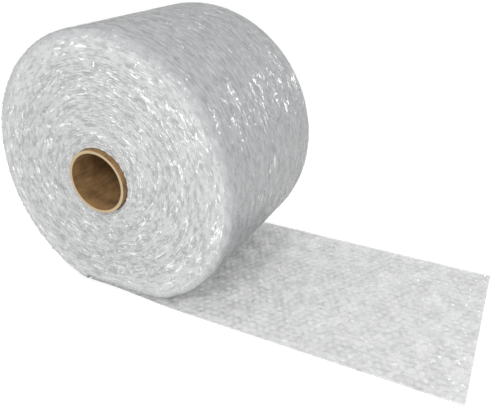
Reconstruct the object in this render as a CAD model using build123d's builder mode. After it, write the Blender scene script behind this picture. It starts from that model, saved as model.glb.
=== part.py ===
"""A roll of small-bubble wrap on a cardboard core, lying on its side with its free end unrolled along the floor.

Millimetres, +Z up. The origin is on the floor under the roll's middle, halfway between the two edges of the web.
The roll's axis runs along Y, its front end faces -Y, and the free end of the web lies toward +X.
"""

import os
from math import sqrt

from build123d import *

# The cardboard core, a paper tube for a 3 inch spindle. It comes out a little beyond the turns at both ends.
CORE_BORE_RADIUS = 38.1
CORE_WALL = 4.0
CORE_RIM_ROUNDING = 0.6
CORE_OUT_AT_FRONT = 6.0
CORE_OUT_AT_BACK = 3.0
CORE_CLEARANCE = 0.1  # between the core and the first turn

# The web of bubble wrap.
WEB_WIDTH = 278.0
WEB_THICKNESS = 4.5
FREE_END_LENGTH = 466.0  # from under the roll's middle to the cut

# The wound turns. The roll is soft, so it is a little oval, and flat where it lies.
ROLL_HALF_BREADTH = 182.3
ROLL_HALF_HEIGHT = 186.8
FLAT_SPOT_DEPTH = 10.3
CORE_RISE = 2.6  # the core's axis is above the middle of the oval, because the turns below it are squashed
FRONT_EDGE_ROUNDING = 4.0
BACK_EDGE_ROUNDING = 40.0

# The inner turns have crept forward, so the front end is a low cone inside a level border.
CONE_HEIGHT = 13.0
CONE_BORDER = 12.0

roll_height = ROLL_HALF_HEIGHT - FLAT_SPOT_DEPTH
core_height = roll_height + CORE_RISE
core_radius = CORE_BORE_RADIUS + CORE_WALL
flat_spot_end = ROLL_HALF_BREADTH * sqrt(1 - (roll_height / ROLL_HALF_HEIGHT) ** 2)
cone_radius = min(ROLL_HALF_BREADTH, ROLL_HALF_HEIGHT) - CONE_BORDER
web_front = -WEB_WIDTH / 2
cone_front = web_front - CONE_HEIGHT
core_front = cone_front - CORE_OUT_AT_FRONT
core_length = CORE_OUT_AT_FRONT + CONE_HEIGHT + WEB_WIDTH + CORE_OUT_AT_BACK


def across_roll(y, height):
    """An upright plane across the roll at y, with its origin at the height given. It is extruded toward the back."""
    return Plane(origin=(0, y, height), x_dir=(1, 0, 0), z_dir=(0, 1, 0))


# The core is one paper tube, open from end to end.
with BuildPart() as cardboard_core:
    with BuildSketch(across_roll(core_front, core_height)):
        Circle(core_radius)
        Circle(CORE_BORE_RADIUS, mode=Mode.SUBTRACT)
    extrude(amount=core_length)
    rims = cardboard_core.edges().filter_by(GeomType.CIRCLE)
    fillet(rims, radius=CORE_RIM_ROUNDING)
cardboard_core.part.label = "cardboard_core"

# The web is one piece: all its wound turns, and the free end that leaves them along the floor.
with BuildPart() as bubble_wrap:
    with BuildSketch(across_roll(web_front, roll_height)):
        Ellipse(ROLL_HALF_BREADTH, ROLL_HALF_HEIGHT)
    extrude(amount=WEB_WIDTH)
    front_edge = bubble_wrap.faces().sort_by(Axis.Y)[0].edges()
    fillet(front_edge, radius=FRONT_EDGE_ROUNDING)
    back_edge = bubble_wrap.faces().sort_by(Axis.Y)[-1].edges()
    fillet(back_edge, radius=BACK_EDGE_ROUNDING)

    # The cone of crept turns is turned about the core's axis.
    with BuildSketch(Plane.YZ):
        with BuildLine():
            Polyline(
                (web_front, core_height),
                (web_front, core_height + cone_radius),
                (cone_front, core_height + core_radius),
                (cone_front, core_height),
                close=True,
            )
        make_face()
    revolve(axis=Axis((0, 0, core_height), (0, 1, 0)))

    # The web lies level from one end of the flat spot, on under the roll, to its cut end.
    with BuildSketch(Plane.XY):
        with Locations((-flat_spot_end, 0)):
            Rectangle(flat_spot_end + FREE_END_LENGTH, WEB_WIDTH, align=(Align.MIN, Align.CENTER))
    extrude(amount=WEB_THICKNESS)

    # The flat spot: nothing is left below the floor.
    split(bisect_by=Plane.XY, keep=Keep.TOP)

    with BuildSketch(across_roll(core_front, core_height)):
        Circle(core_radius + CORE_CLEARANCE)
    extrude(amount=core_length, mode=Mode.SUBTRACT)
bubble_wrap.part.label = "bubble_wrap"

os.makedirs("parts", exist_ok=True)
for piece in (cardboard_core.part, bubble_wrap.part):
    export_step(piece, f"parts/{piece.label}.step")
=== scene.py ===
"""The looks of a bubble wrap roll: the wound turns, the free end of the web, and the cardboard core."""

import math

import bpy
import numpy as np
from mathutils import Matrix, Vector


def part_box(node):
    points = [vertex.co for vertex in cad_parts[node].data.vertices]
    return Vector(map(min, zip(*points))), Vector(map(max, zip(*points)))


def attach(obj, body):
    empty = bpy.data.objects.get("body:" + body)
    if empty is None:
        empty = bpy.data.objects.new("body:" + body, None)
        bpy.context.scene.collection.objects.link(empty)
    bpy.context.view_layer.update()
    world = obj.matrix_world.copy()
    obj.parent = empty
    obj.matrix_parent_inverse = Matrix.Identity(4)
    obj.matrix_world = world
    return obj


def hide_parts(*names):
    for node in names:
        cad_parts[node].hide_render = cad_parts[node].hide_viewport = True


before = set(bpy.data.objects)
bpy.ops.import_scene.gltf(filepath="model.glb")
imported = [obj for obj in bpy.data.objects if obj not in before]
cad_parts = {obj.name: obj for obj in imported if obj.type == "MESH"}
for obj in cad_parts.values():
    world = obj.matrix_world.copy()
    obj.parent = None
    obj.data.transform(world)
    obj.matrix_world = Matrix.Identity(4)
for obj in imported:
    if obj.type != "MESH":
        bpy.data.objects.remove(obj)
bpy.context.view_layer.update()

MM = 0.001

# The small-bubble web. Its bubbles face inward on the roll, so they lie upward on the free end.
BUBBLE_PITCH = 11 * MM
BUBBLE_HEIGHT = 3.6 * MM
LOOSE_BUBBLE_HEIGHT = 2.4 * MM  # the free end's bubbles have been pressed flat in the roll
WALL_RUN = 0.17 * BUBBLE_PITCH  # how far a bubble's wall leans in, from its foot to its shoulder
SHOULDER = 0.75  # how high the shoulder is, as a share of the bubble's height
FILM_BULGE = 0.6 * MM  # the backing film is pushed out a little behind each bubble
FILM_GAP = 0.2 * MM  # between the backing film and the bubbles under it
WEB_THICKNESS = 4.5 * MM
TURN_PITCH = 3.4 * MM

# The roll's form, from the frame and the sizes that the model was made with.
FLAT_SPOT_DEPTH = 10.3 * MM
FLAT_SPOT_SOFTNESS = 5 * MM
BACK_EDGE_ROUNDING = 40 * MM
FRONT_EDGE_ROUNDING = 7 * MM  # the soft film rounds off more than the solid under it does
FRONT_EDGE_TUCK = 5 * MM  # how much of the outermost turn is folded down over the front end
CRUSHED_EDGE = 24 * MM  # how far in from its front edge the outermost turn is crushed
CONE_BORDER = 12 * MM  # the front end is level this far in from its rim
RIDGE_TOP = 2.2 * MM  # the most that a turn's edge stands out from the hollow beside it
TURN_STEPS = 460
ROUTE_STEPS = 2400
wrap_low, wrap_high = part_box("bubble_wrap")
core_low, core_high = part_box("cardboard_core")
half_breadth = -wrap_low[0]
half_height = (wrap_high[2] + FLAT_SPOT_DEPTH) / 2
roll_height = half_height - FLAT_SPOT_DEPTH
web_back = wrap_high[1]
web_front = -web_back
web_width = web_back - web_front
cone_height = web_front - wrap_low[1]
core_height = (core_low[2] + core_high[2]) / 2
core_radius = (core_high[0] - core_low[0]) / 2
free_end = wrap_high[0]
flat_spot_end = half_breadth * math.sqrt(1 - (roll_height / half_height) ** 2)
# The outermost turn's width, measured over its rounded edges and its tuck.
turn_width = web_width + FRONT_EDGE_TUCK + (FRONT_EDGE_ROUNDING + BACK_EDGE_ROUNDING) * (math.pi / 2 - 1)

random = np.random.default_rng(7)


# ---------------------------------------------------------------- nodes


def linear(hex_colour):
    """An sRGB hex colour as linear RGBA."""
    parts = [int(hex_colour[i : i + 2], 16) / 255 for i in (1, 3, 5)]
    return [c / 12.92 if c <= 0.04045 else ((c + 0.055) / 1.055) ** 2.4 for c in parts] + [1.0]


def add(tree, kind, settings=None, sockets=None, stops=()):
    """Adds a node.

    Settings are its own properties. Sockets are its inputs, each a value or another node's output. Stops are
    a colour ramp's, each a position with a grey level or a colour.
    """
    new = tree.nodes.new(kind)
    for name, value in (settings or {}).items():
        setattr(new, name, value)
    for name, value in (sockets or {}).items():
        if isinstance(value, bpy.types.NodeSocket):
            tree.links.new(value, new.inputs[name])
        else:
            new.inputs[name].default_value = value
    for k, (position, colour) in enumerate(stops):
        element = new.color_ramp.elements[k] if k < 2 else new.color_ramp.elements.new(position)
        element.position = position
        element.color = colour if isinstance(colour, list) else [colour] * 3 + [1]
    return new


def compute(tree, operation, *values):
    return add(tree, "ShaderNodeMath", {"operation": operation}, dict(enumerate(values))).outputs[0]


def compute_vector(tree, operation, *values):
    node = add(tree, "ShaderNodeVectorMath", {"operation": operation}, dict(enumerate(values)))
    return node.outputs["Value" if operation == "LENGTH" else "Vector"]


def noise(tree, place, scale, detail, **more):
    sockets = {"Vector": place, "Scale": scale, "Detail": detail, **more}
    return add(tree, "ShaderNodeTexNoise", sockets=sockets)


def ramp(tree, level, *stops):
    return add(tree, "ShaderNodeValToRGB", sockets={"Fac": level}, stops=stops).outputs[0]


def mix(tree, share, first, second):
    """The first colour where share is 0, the second where it is 1, and between them a blend."""
    sockets = {0: share, 6: first, 7: second}
    return add(tree, "ShaderNodeMix", {"data_type": "RGBA"}, sockets).outputs[2]


def mix_shader(tree, share, first, second):
    return add(tree, "ShaderNodeMixShader", sockets={0: share, 1: first, 2: second}).outputs[0]


def blank_material(name):
    material = bpy.data.materials.new(name)
    material.use_nodes = True
    material.node_tree.nodes.clear()
    return material, material.node_tree


# ---------------------------------------------------------------- materials


def place_on_web(tree, coordinates):
    """Where a point is on the web, in metres along it, across it and through it.

    A piece with its own UV map has that laid out flat. On the ends of the turns, along goes round the core,
    in bands of a few turns, and across goes out from it.
    """
    where = add(tree, "ShaderNodeTexCoord").outputs[coordinates]
    if coordinates == "UV":
        return where
    from_core = compute_vector(tree, "SUBTRACT", where, (0, 0, core_height))
    parts = add(tree, "ShaderNodeSeparateXYZ", sockets={0: from_core})
    x, y, z = (parts.outputs[i] for i in range(3))
    flat = add(tree, "ShaderNodeCombineXYZ", sockets={"X": x, "Y": z}).outputs[0]
    radius = compute_vector(tree, "LENGTH", flat)
    band = compute(tree, "SNAP", radius, 5 * TURN_PITCH)
    along = compute(tree, "MULTIPLY", compute(tree, "ARCTAN2", x, z), band)
    return add(tree, "ShaderNodeCombineXYZ", sockets={"X": along, "Y": radius, "Z": y}).outputs[0]


def film_material(name, coordinates, stretch, tint, shade, cover, bare, edge=None):
    """Low-density polyethylene film, blown and heat-sealed: clear, soft and glossy, crumpled into small flats
    and folds that each catch the light on their own.

    stretch is how much longer the folds are along the web than across. tint is its lighter colour, and shade
    its greyer one, which is painted shade for the film's hollow parts. cover is how much of what lies behind
    the film its haze hides, from 0 to 1. bare is the share of the noise's range that stays without a painted
    glint, from 0 to 1.
    edge is where across the web its squashed front edge is, which is whiter: partly the haze of squashed
    film, and partly painted light along the rim.
    """
    fold = 8 * MM
    flat = 5 * MM
    lean = 0.46  # how far the flats' normals lie apart
    patchiness = 0.12  # how far the haze's cover is from its mean, where it is thinnest and thickest
    material, tree = blank_material(name)
    place = place_on_web(tree, coordinates)
    laid = add(tree, "ShaderNodeMapping", sockets={"Vector": place, "Scale": (1 / stretch, 1, 1)}).outputs[0]

    # Each flat leans its own way, and its outline wanders.
    wander = noise(tree, laid, 0.5 / flat, 1.0).outputs["Color"]
    bent = compute_vector(tree, "MULTIPLY_ADD", wander, (1.6 * flat,) * 3, laid)
    flats = add(tree, "ShaderNodeTexVoronoi", sockets={"Vector": bent, "Scale": 0.8 / flat}).outputs["Color"]
    leaning = compute_vector(tree, "MULTIPLY_ADD", flats, (lean,) * 3, (-lean / 2,) * 3)
    upright = add(tree, "ShaderNodeNewGeometry").outputs["Normal"]
    leaning = compute_vector(tree, "NORMALIZE", compute_vector(tree, "ADD", upright, leaning))

    folds = noise(tree, laid, 1 / fold, 3.0, Roughness=0.55, Distortion=1.2).outputs["Fac"]
    sockets = {"Strength": 0.7, "Distance": 1.3 * MM, "Height": folds, "Normal": leaning}
    bump = add(tree, "ShaderNodeBump", sockets=sockets).outputs[0]

    # Painted highlights: crests painted white, so that they stay white from every side. Painted shade: a
    # random grey mottle, for the hollow parts of the film.
    painted_glints = ramp(tree, folds, (bare, 0.0), (bare + 0.05, 1.0))
    painted_hollow_shade = noise(tree, laid, 1.7 / fold, 2.0).outputs["Fac"]
    base = ramp(tree, painted_hollow_shade, (0.36, linear(shade)), (0.56, linear(tint)))
    base = mix(tree, painted_glints, base, linear("#FFFFFF"))
    # Painted light along the rim, and haze: the squashed front edge is painted whiter and hides more of what
    # lies behind it.
    if edge is not None:
        across = add(tree, "ShaderNodeSeparateXYZ", sockets={0: place}).outputs["Y"]
        sockets = {0: across, 1: edge, 2: edge + CRUSHED_EDGE, 3: 0.95, 4: 0.0}
        crushed_haze_and_painted_light = add(tree, "ShaderNodeMapRange", sockets=sockets).outputs[0]
        base = mix(tree, compute(tree, "MULTIPLY", crushed_haze_and_painted_light, 0.6), base, linear("#E4E5E6"))
        painted_glints = compute(tree, "MAXIMUM", painted_glints, crushed_haze_and_painted_light)
    sockets = {"Base Color": base, "Roughness": 0.15, "IOR": 1.51, "Specular IOR Level": 0.8, "Normal": bump}
    film = add(tree, "ShaderNodeBsdfPrincipled", sockets=sockets).outputs[0]
    if cover < 1:
        clear = add(tree, "ShaderNodeBsdfTransparent").outputs[0]
        haze = noise(tree, place, 40.0, 2.0).outputs["Fac"]
        least = ramp(tree, haze, (0.3, cover - patchiness), (0.7, cover + patchiness))
        film = mix_shader(tree, compute(tree, "MAXIMUM", least, painted_glints), clear, film)
    add(tree, "ShaderNodeOutputMaterial", sockets={"Surface": film})
    return material


def cardboard_material():
    """Kraft paperboard, wound in a spiral and glued: matte brown with faint streaks, and paler where sawn."""
    material, tree = blank_material("kraft paperboard tube")
    where = add(tree, "ShaderNodeTexCoord")
    place = where.outputs["Object"]
    grain = add(tree, "ShaderNodeMapping", sockets={"Vector": place, "Scale": (1, 0.07, 1)}).outputs[0]
    fibres = noise(tree, grain, 700.0, 4.0, Roughness=0.6).outputs["Fac"]
    patches = noise(tree, place, 55.0, 2.0).outputs["Fac"]
    both = compute(tree, "MULTIPLY", fibres, patches)
    paper = ramp(tree, both, (0.16, linear("#80623F")), (0.36, linear("#AD8A5B")))
    # The sawn rims face along the tube.
    facing = add(tree, "ShaderNodeSeparateXYZ", sockets={0: where.outputs["Normal"]}).outputs["Y"]
    sawn = ramp(tree, compute(tree, "ABSOLUTE", facing), (0.55, 0.0), (0.8, 1.0))
    tint = mix(tree, sawn, paper, linear("#C4AF8D"))
    sockets = {"Strength": 0.35, "Distance": 0.3 * MM, "Height": fibres}
    bump = add(tree, "ShaderNodeBump", sockets=sockets).outputs[0]
    sockets = {"Base Color": tint, "Roughness": 0.9, "Normal": bump}
    board = add(tree, "ShaderNodeBsdfPrincipled", sockets=sockets).outputs[0]
    add(tree, "ShaderNodeOutputMaterial", sockets={"Surface": board})
    return material


# ---------------------------------------------------------------- forms


def smooth_step(value, start, end):
    share = np.clip((value - start) / (end - start), 0, 1)
    return share * share * (3 - 2 * share)


def any_phase():
    """An angle from anywhere in a full turn."""
    return random.random() * 7


def outline(angle, inset):
    """Where the ray at angle from the core's axis meets the roll's oval, with the oval moved in by inset."""
    a, b = half_breadth - inset, half_height - inset
    rise = core_height - roll_height
    c, s = np.cos(angle), np.sin(angle)
    squares = (c / a) ** 2 + (s / b) ** 2
    slope = rise * s / b**2
    reach = (np.sqrt(slope**2 - squares * ((rise / b) ** 2 - 1)) - slope) / squares
    return reach * c, core_height + reach * s


def rest_on(z, floor, softness):
    """Heights z, lifted where they would be below the floor, with a soft start to the flat spot."""
    over = z - floor
    return floor + (over + np.sqrt(over**2 + softness**2)) / 2


def read_points(piece):
    points = np.empty(3 * len(piece.data.vertices), dtype=np.float32)
    piece.data.vertices.foreach_get("co", points)
    return points.reshape(-1, 3).astype(float)


def move_points(piece, points):
    piece.data.vertices.foreach_set("co", points.astype(np.float32).ravel())
    piece.data.update()


def finish_piece(piece, name, material):
    """Names a made piece, smooths it, and gives it its material and its place in the model."""
    piece.name = piece.data.name = name
    piece.data.materials.clear()
    piece.data.materials.append(material)
    bpy.ops.object.select_all(action="DESELECT")
    piece.select_set(True)
    bpy.context.view_layer.objects.active = piece
    bpy.ops.object.shade_smooth()
    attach(piece, "root")
    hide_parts("bubble_wrap")


def bubble_cell(height, furrow):
    """One bubble on its six-sided patch of film, flat about the origin.

    furrow is how high the film stays between the bubbles of one row, as a share of their height, which leaves
    furrows between the rows.
    """
    bpy.ops.object.select_all(action="DESELECT")
    bpy.ops.mesh.primitive_circle_add(vertices=12, radius=BUBBLE_PITCH / 2, fill_type="NGON", calc_uvs=True)
    cell = bpy.context.object
    bpy.ops.object.mode_set(mode="EDIT")
    bpy.ops.mesh.select_all(action="SELECT")
    bpy.ops.mesh.inset(thickness=WALL_RUN, depth=SHOULDER * height)
    bpy.ops.mesh.poke(offset=(1 - SHOULDER) * height)
    bpy.ops.object.mode_set(mode="OBJECT")

    # The ring's points in the six corners move out, so that the patches close up.
    points = read_points(cell)
    reach = np.hypot(points[:, 0], points[:, 1])
    angle = np.degrees(np.arctan2(points[:, 1], points[:, 0]))
    edge = reach > 0.47 * BUBBLE_PITCH
    corner = edge & (np.abs(angle % 60 - 30) < 5)
    points[corner, :2] *= 2 / math.sqrt(3)
    in_row = edge & (np.abs(points[:, 1]) < 0.1 * BUBBLE_PITCH)
    points[in_row, 2] = furrow * height
    move_points(cell, points)
    return cell


def bubble_web(length, width, height, spread, furrow):
    """A flat web of bubbles in a honeycomb, from 0 to length along x, with its places as its UV map.

    spread is how much the bubbles differ.
    """
    web = bubble_cell(height, furrow)
    row_pitch = BUBBLE_PITCH * math.sqrt(3) / 2
    columns = math.ceil(length / BUBBLE_PITCH) + 2
    pairs = math.ceil(width / row_pitch / 2) + 1
    next_row = (BUBBLE_PITCH / 2, row_pitch, 0)
    copies = ((2, next_row), (columns, (BUBBLE_PITCH, 0, 0)), (pairs, (0, 2 * row_pitch, 0)))
    for count, offset in copies:
        array = web.modifiers.new("copies", "ARRAY")
        array.count = count
        array.use_relative_offset = False
        array.use_constant_offset = True
        array.constant_offset_displace = offset
        bpy.ops.object.modifier_apply(modifier=array.name)

    # No two bubbles are alike: each leans and is dented its own way.
    points = read_points(web)
    row = np.round(points[:, 1] / row_pitch)
    column = np.round(points[:, 0] / BUBBLE_PITCH - 0.5 * (row % 2))
    centre = np.stack([(column + 0.5 * (row % 2)) * BUBBLE_PITCH, row * row_pitch], 1)
    row_numbers = 10000  # more than a row's bubbles
    _, cell = np.unique(row * row_numbers + column, return_inverse=True)
    cell = cell.ravel()
    off_centre = np.hypot(*(points[:, :2] - centre).T)
    inside = (off_centre < 0.45 * BUBBLE_PITCH) & (np.abs(points[:, 2]) > 0.5 * abs(height))
    cells = cell.max() + 1
    swell = 1 - spread * random.random(cells) ** 2
    lean = random.normal(0, 0.07 * BUBBLE_PITCH * spread, (cells, 2))
    dent = np.clip(1 + 0.2 * spread * random.normal(0, 1, len(points)), 0.5, 1.2)
    points[inside, 2] *= (swell[cell] * dent)[inside]
    points[inside, :2] += lean[cell[inside]]
    points[:, :2] += (-BUBBLE_PITCH / 2, -width / 2)
    move_points(web, points)

    bpy.ops.object.mode_set(mode="EDIT")
    bpy.ops.mesh.select_all(action="SELECT")
    bpy.ops.mesh.remove_doubles(threshold=0.02 * MM)
    sides = (
        ((0, 0, 0), (-1, 0, 0)),
        ((length, 0, 0), (1, 0, 0)),
        ((0, -width / 2, 0), (0, -1, 0)),
        ((0, width / 2, 0), (0, 1, 0)),
    )
    for place, outward in sides:
        bpy.ops.mesh.select_all(action="SELECT")
        bpy.ops.mesh.bisect(plane_co=place, plane_no=outward, clear_outer=True)
    bpy.ops.object.mode_set(mode="OBJECT")

    points = read_points(web)
    corners = np.empty(len(web.data.loops), dtype=np.int32)
    web.data.loops.foreach_get("vertex_index", corners)
    web.data.uv_layers.active.data.foreach_set("uv", points[corners, :2].astype(np.float32).ravel())
    return web, points


def wound_route():
    """The outermost turn's route, from the flat spot round by the left and the top, until it is tucked in
    under itself: its places and outward normals in the upright plane, and the length run so far."""
    share = np.linspace(0, 1, ROUTE_STEPS + 1)
    start = math.atan2(-core_height, -flat_spot_end)
    inset = FILM_BULGE + WEB_THICKNESS * smooth_step(share, 0.7, 1.0)
    x, z = outline(start - 2 * math.pi * share, inset)
    floor = FILM_BULGE + (WEB_THICKNESS + 1 * MM) * (share > 0.5)
    place = np.stack([x, rest_on(z, floor, FLAT_SPOT_SOFTNESS)], 1)
    step = np.gradient(place, axis=0)
    step /= np.linalg.norm(step, axis=1)[:, None]
    normal = np.stack([-step[:, 1], step[:, 0]], 1)
    run = np.concatenate([[0], np.cumsum(np.linalg.norm(np.diff(place, axis=0), axis=1))])
    return place, normal, run


def laid_round(points, route):
    """Flat points of the outermost turn, laid on the route with its edges drawn in round the roll's ends."""
    place, normal, run = route
    along, across, up = points.T
    px, pz = (np.interp(along, run, place[:, i]) for i in (0, 1))
    nx, nz = (np.interp(along, run, normal[:, i]) for i in (0, 1))
    # The back edge lies flat where the web comes off the roll, and is drawn in as the web climbs.
    sharpest = 2 * MM
    back = sharpest + (BACK_EDGE_ROUNDING - sharpest) * smooth_step(along / run[-1], 0.0, 0.06)
    front = FRONT_EDGE_ROUNDING
    quarter = math.pi / 2
    level = web_width - front - back
    length_across = FRONT_EDGE_TUCK + level + (front + back) * quarter
    from_front = (across / turn_width + 0.5) * length_across - FRONT_EDGE_TUCK
    tucked = np.clip(-from_front, 0, FRONT_EDGE_TUCK)
    front_bend = np.clip((front * quarter - from_front) / front, 0, quarter)
    back_bend = np.clip((from_front - front * quarter - level) / back, 0, quarter)
    y = web_front + front + np.clip(from_front - front * quarter, 0, level)
    y += (back + up) * np.sin(back_bend) - (front + up) * np.sin(front_bend)
    y += RIDGE_TOP * (tucked / FRONT_EDGE_TUCK) ** 2
    # The front edge is crushed a little all round.
    y += random.normal(0, 0.6 * MM, len(points)) * smooth_step(-from_front, -CRUSHED_EDGE, 0)
    out = (back + up) * np.cos(back_bend) - back + (front + up) * np.cos(front_bend) - front - up - tucked
    return np.stack([px + nx * out, y, pz + nz * out], 1)


def outer_turn(film, bubbles):
    """The outermost turn: the backing film outside, and the bubbles seen through it."""
    route = wound_route()
    length = route[2][-1]
    web, points = bubble_web(length, turn_width, FILM_BULGE, spread=0.8, furrow=0.55)
    move_points(web, laid_round(points, route))
    finish_piece(web, "outer_film", film)
    web, points = bubble_web(length, turn_width, -BUBBLE_HEIGHT, spread=0.5, furrow=0.0)
    points[:, 2] -= FILM_GAP
    move_points(web, laid_round(points, route))
    finish_piece(web, "outer_bubbles", bubbles)


def loose_web(material):
    """The free end, from under the roll to the cut: the bubbles on top, and the flat film under them."""
    start = -flat_spot_end
    length = free_end - start
    for name, height in (("free_end_backing", -FILM_BULGE / 2), ("free_end", LOOSE_BUBBLE_HEIGHT)):
        web, points = bubble_web(length, web_width, height, spread=0.7, furrow=0.0)
        points[:, 0] += start
        # It gets thin under the roll's weight, and its edge comes out from the roll's rounded edge.
        weight = 1 - 0.75 * smooth_step(-points[:, 0], -1.1 * flat_spot_end, -0.7 * flat_spot_end)
        points[:, 2] = FILM_BULGE / 2 + points[:, 2] * weight
        clear_of_roll = smooth_step(points[:, 0], -0.5 * flat_spot_end, 1.8 * flat_spot_end)
        drawn_in = FRONT_EDGE_ROUNDING * (1 - clear_of_roll)
        points[:, 1] += drawn_in * (0.5 - points[:, 1] / web_width)
        move_points(web, points)
        if height < 0:
            web.data.flip_normals()
        finish_piece(web, name, material)


def wound_turns(name, side, material):
    """Half of the wound turns: one end of the roll, where every turn's edge shows, and the plain sides behind
    it.

    side is -1 at the front and 1 at the back.
    """
    depth = half_breadth - core_radius
    turns = int(depth / TURN_PITCH)
    rounding, cone, level = FRONT_EDGE_ROUNDING, cone_height, web_front
    if side > 0:
        rounding, cone, level = BACK_EDGE_ROUNDING, 0, web_back
    angle = np.linspace(0, 2 * math.pi, TURN_STEPS + 1) - math.pi / 2
    rim_x, rim_z = outline(angle, WEB_THICKNESS)
    rim_z = rest_on(rim_z, 2 * WEB_THICKNESS, FLAT_SPOT_SOFTNESS)
    hub_x, hub_z = core_radius * np.cos(angle), core_height + core_radius * np.sin(angle)
    # Slow swells of the whole end, which run on from turn to turn.
    swell = sum(np.sin(k * angle + any_phase()) / k for k in (5, 9, 14, 23)) * 1.1 * MM

    def ring(share, y):
        """A ring of points, at a share of the way from the core to the rim."""
        return np.stack([hub_x + (rim_x - hub_x) * share, y + 0 * angle, hub_z + (rim_z - hub_z) * share], 1)

    rings = []
    for k in range(turns):
        snug = 0 if k == 0 else 1  # the first turn lies close to the core all round
        radius = core_radius + k / turns * depth
        bubbles_round = round(2 * math.pi * radius / BUBBLE_PITCH)
        start = any_phase()
        lift = np.roll(swell[:-1], int(4 * k + 9 * random.random()))
        # Each turn's edge stands out in a ridge, which the bubbles crimp: its foot, crest and far side.
        for at, rise in ((0.08, 0.0), (0.45, 1.0), (0.80, 0.75)):
            share = (k + at) / turns
            crimp = np.sin(angle * bubbles_round + start)
            out = rise * (1.5 + 0.8 * crimp) * MM
            out[:-1] += random.normal(0, 0.4 * MM, TURN_STEPS) + lift * rise * 0.6
            sway = 0.5 * MM * np.sin(angle * bubbles_round + 2 * start)
            sway[:-1] += random.normal(0, 0.15 * MM, TURN_STEPS)
            out[-1], sway[-1] = out[0], sway[0]
            past = max(0.0, share * depth - (depth - rounding))
            bend = rounding - math.sqrt(rounding**2 - past**2)
            slope = cone * max(0.0, 1 - share * depth / (depth - CONE_BORDER))
            hollow = (np.minimum(out, RIDGE_TOP) - RIDGE_TOP) * min(1, 4 * (1 - share))
            rings.append(ring(share + snug * sway / depth, level + side * (slope - bend + hollow)))
    # Over the rim, along the side to the middle of the roll, in to the core, and back along that.
    over_rim, at_core = level - side * (rounding + 6 * MM), level - side * 12 * MM
    for share, y in ((1, over_rim), (1, 0), (0, 0), (0, at_core)):
        rings.append(ring(share, y))
    rings.append(rings[0])

    bpy.ops.object.select_all(action="DESELECT")
    bpy.ops.mesh.primitive_grid_add(x_subdivisions=TURN_STEPS, y_subdivisions=len(rings) - 1, size=1)
    end = bpy.context.object
    move_points(end, np.concatenate(rings))
    bpy.ops.object.mode_set(mode="EDIT")
    bpy.ops.mesh.select_all(action="SELECT")
    bpy.ops.mesh.remove_doubles(threshold=0.001 * MM)
    bpy.ops.mesh.normals_make_consistent(inside=False)
    bpy.ops.object.mode_set(mode="OBJECT")
    finish_piece(end, name, material)


# ---------------------------------------------------------------- the object

backing = film_material(
    "polyethylene film, backing",
    "UV",
    stretch=3.4,
    tint="#CFD0D1",
    shade="#B0B2B4",
    cover=0.55,
    bare=0.65,
    edge=-turn_width / 2,
)
bubble_film = film_material(
    "polyethylene film, bubbles",
    "UV",
    stretch=1.4,
    tint="#DEDFE0",
    shade="#C4C6C8",
    cover=1.0,
    bare=0.67,
)
loose_film = film_material(
    "polyethylene film, free end",
    "UV",
    stretch=1.5,
    tint="#F0F0F1",
    shade="#DDDEDF",
    cover=0.50,
    bare=0.69,
)
edge_film = film_material(
    "polyethylene film, edges of the turns",
    "Object",
    stretch=2.4,
    tint="#D6D7D7",
    shade="#B8BABB",
    cover=1.0,
    bare=0.60,
)

outer_turn(backing, bubble_film)
loose_web(loose_film)
wound_turns("front_turns", -1, edge_film)
wound_turns("back_turns", 1, edge_film)

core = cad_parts["cardboard_core"]
core.data.materials.clear()
core.data.materials.append(cardboard_material())

# ---------------------------------------------------------------- studio and camera

VIEW_AZIMUTH = math.radians(26.64)
VIEW_ELEVATION = math.radians(26.99)
camera_data = bpy.data.cameras.new("camera")
camera_data.lens = 40.91
camera_data.sensor_width = 36
camera = bpy.data.objects.new("camera", camera_data)
camera.location = (0.4501, -0.6391, 0.4716)
camera.rotation_euler = (math.pi / 2 - VIEW_ELEVATION, 0, VIEW_AZIMUTH)
bpy.context.scene.collection.objects.link(camera)
bpy.context.scene.camera = camera


def seen_directly(tree, rays):
    """1 for the kinds of ray named, and 0 for those that light the object."""
    path = add(tree, "ShaderNodeLightPath")
    total = path.outputs[rays[0]]
    for name in rays[1:]:
        total = compute(tree, "MAXIMUM", total, path.outputs[name])
    return total


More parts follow.
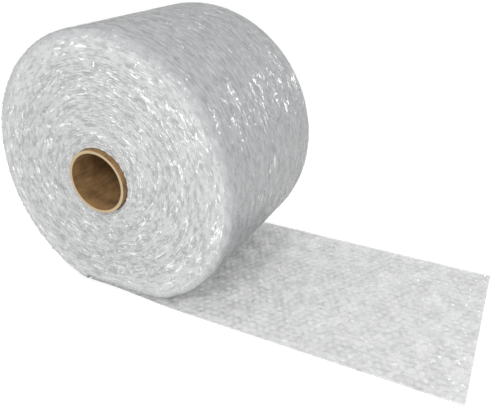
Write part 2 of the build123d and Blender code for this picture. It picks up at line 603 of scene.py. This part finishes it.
def white_floor():
    """Matte white, lit like the object near it, and plain white to the eye further out."""
    material, tree = blank_material("white studio floor")
    paint = add(tree, "ShaderNodeBsdfDiffuse", sockets={"Color": linear("#E8E8E8")}).outputs[0]
    lift = add(tree, "ShaderNodeEmission", sockets={"Strength": 0.5}).outputs[0]
    near = add(tree, "ShaderNodeAddShader", sockets={0: paint, 1: lift}).outputs[0]
    plain = add(tree, "ShaderNodeEmission", sockets={"Strength": 1.0}).outputs[0]
    distance = compute_vector(tree, "LENGTH", add(tree, "ShaderNodeTexCoord").outputs["Object"])
    shown = mix_shader(tree, ramp(tree, distance, (0.55, 0.0), (0.95, 1.0)), near, plain)
    direct = seen_directly(tree, ("Is Camera Ray", "Is Glossy Ray", "Is Transmission Ray"))
    surface = mix_shader(tree, direct, paint, shown)
    add(tree, "ShaderNodeOutputMaterial", sockets={"Surface": surface})
    return material


bpy.ops.object.select_all(action="DESELECT")
bpy.ops.mesh.primitive_plane_add(size=40)
studio_floor = bpy.context.object
studio_floor.name = "floor"
studio_floor.data.materials.append(white_floor())


def softbox(name, place, size, power):
    """A round lamp that faces the roll. Its place and size are in metres, and its power is in watts."""
    light = bpy.data.lights.new(name, "AREA")
    light.shape = "DISK"
    light.size = size
    light.energy = power
    lamp = bpy.data.objects.new(name, light)
    lamp.location = place
    middle = Vector((0.05, 0, roll_height))
    lamp.rotation_euler = (middle - Vector(place)).to_track_quat("-Z", "Y").to_euler()
    bpy.context.scene.collection.objects.link(lamp)


softbox("key", (0.35, -1.65, 1.40), size=0.40, power=13)
softbox("fill", (1.4, -1.35, 1.2), size=0.30, power=4)
softbox("rim", (1.1, 1.65, 0.85), size=0.22, power=5)

world = bpy.data.worlds.new("studio")
world.use_nodes = True
bpy.context.scene.world = world
tree = world.node_tree
tree.nodes.clear()
white = {"Color": (1, 1, 1, 1)}
soft = add(tree, "ShaderNodeBackground", sockets={**white, "Strength": 0.69}).outputs[0]
plain = add(tree, "ShaderNodeBackground", sockets={**white, "Strength": 1.0}).outputs[0]
sky = mix_shader(tree, seen_directly(tree, ("Is Camera Ray", "Is Transmission Ray")), soft, plain)
add(tree, "ShaderNodeOutputWorld", sockets={"Surface": sky})

bpy.context.scene.view_settings.view_transform = "Standard"
